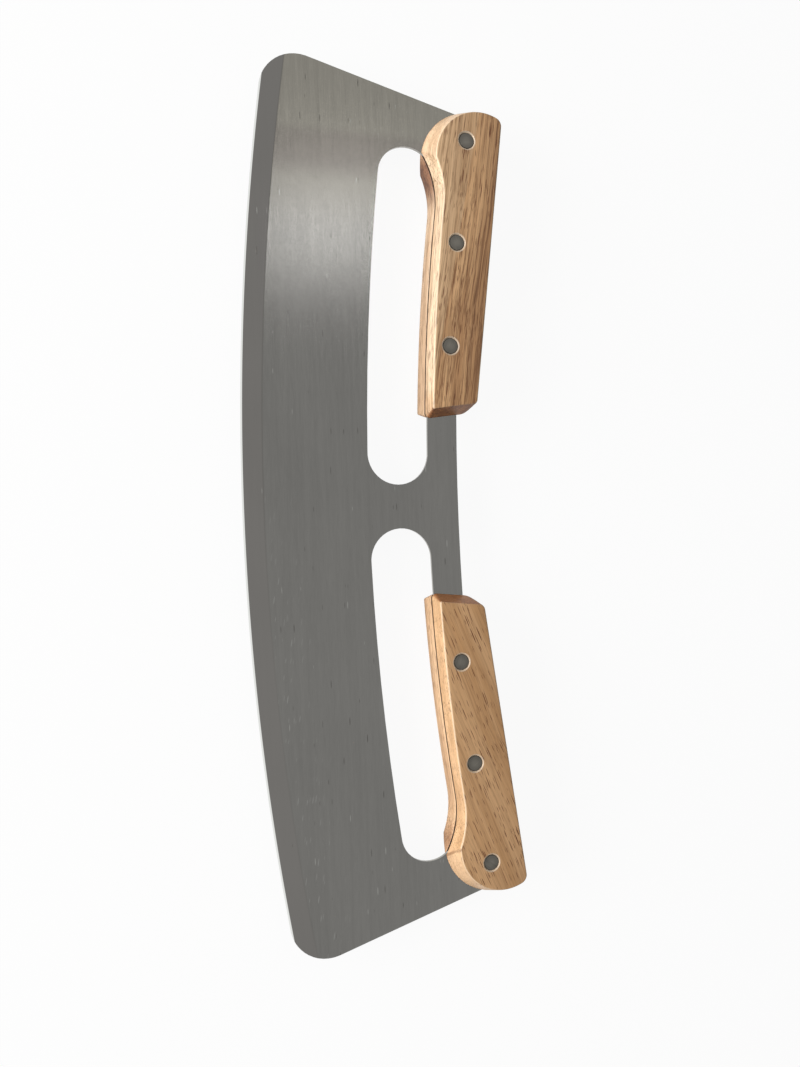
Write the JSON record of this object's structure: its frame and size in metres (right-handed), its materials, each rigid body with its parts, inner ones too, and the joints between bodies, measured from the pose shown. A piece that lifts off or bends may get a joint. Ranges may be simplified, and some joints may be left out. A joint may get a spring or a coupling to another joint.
{
  "type": "rocker pizza cutter",
  "caption": "Rocking pizza cutter: an arched steel blade with a bevelled edge and long finger slots, and leaning wooden grips riveted through the plate.",
  "frame": {"origin": "under the middle of the outline, in the plane of the grips' rear faces that the cutter lies on", "axes": "+X along the cutter, +Y from the cutting edge to the grips, +Z through the thickness, out of the front faces"},
  "size_m": [0.355, 0.1106, 0.02],
  "materials": {
    "blade_steel": "fine brushing along the length, satin",
    "grip_wood": "smooth sanded light hardwood, open pores, thin oil",
    "rivet_steel": "ground flush, satin"
  },
  "bodies": {
    "root": {"blade": "blade_steel", "left_front_scale": "grip_wood", "left_rear_scale": "grip_wood", "right_front_scale": "grip_wood", "right_rear_scale": "grip_wood", "left_inner_rivet_sleeve": "rivet_steel", "left_inner_rivet_pin": "rivet_steel", "left_middle_rivet_sleeve": "rivet_steel", "left_middle_rivet_pin": "rivet_steel", "left_outer_rivet_sleeve": "rivet_steel", "left_outer_rivet_pin": "rivet_steel", "right_inner_rivet_sleeve": "rivet_steel", "right_inner_rivet_pin": "rivet_steel", "right_middle_rivet_sleeve": "rivet_steel", "right_middle_rivet_pin": "rivet_steel", "right_outer_rivet_sleeve": "rivet_steel", "right_outer_rivet_pin": "rivet_steel"}
  },
  "joints": []
}
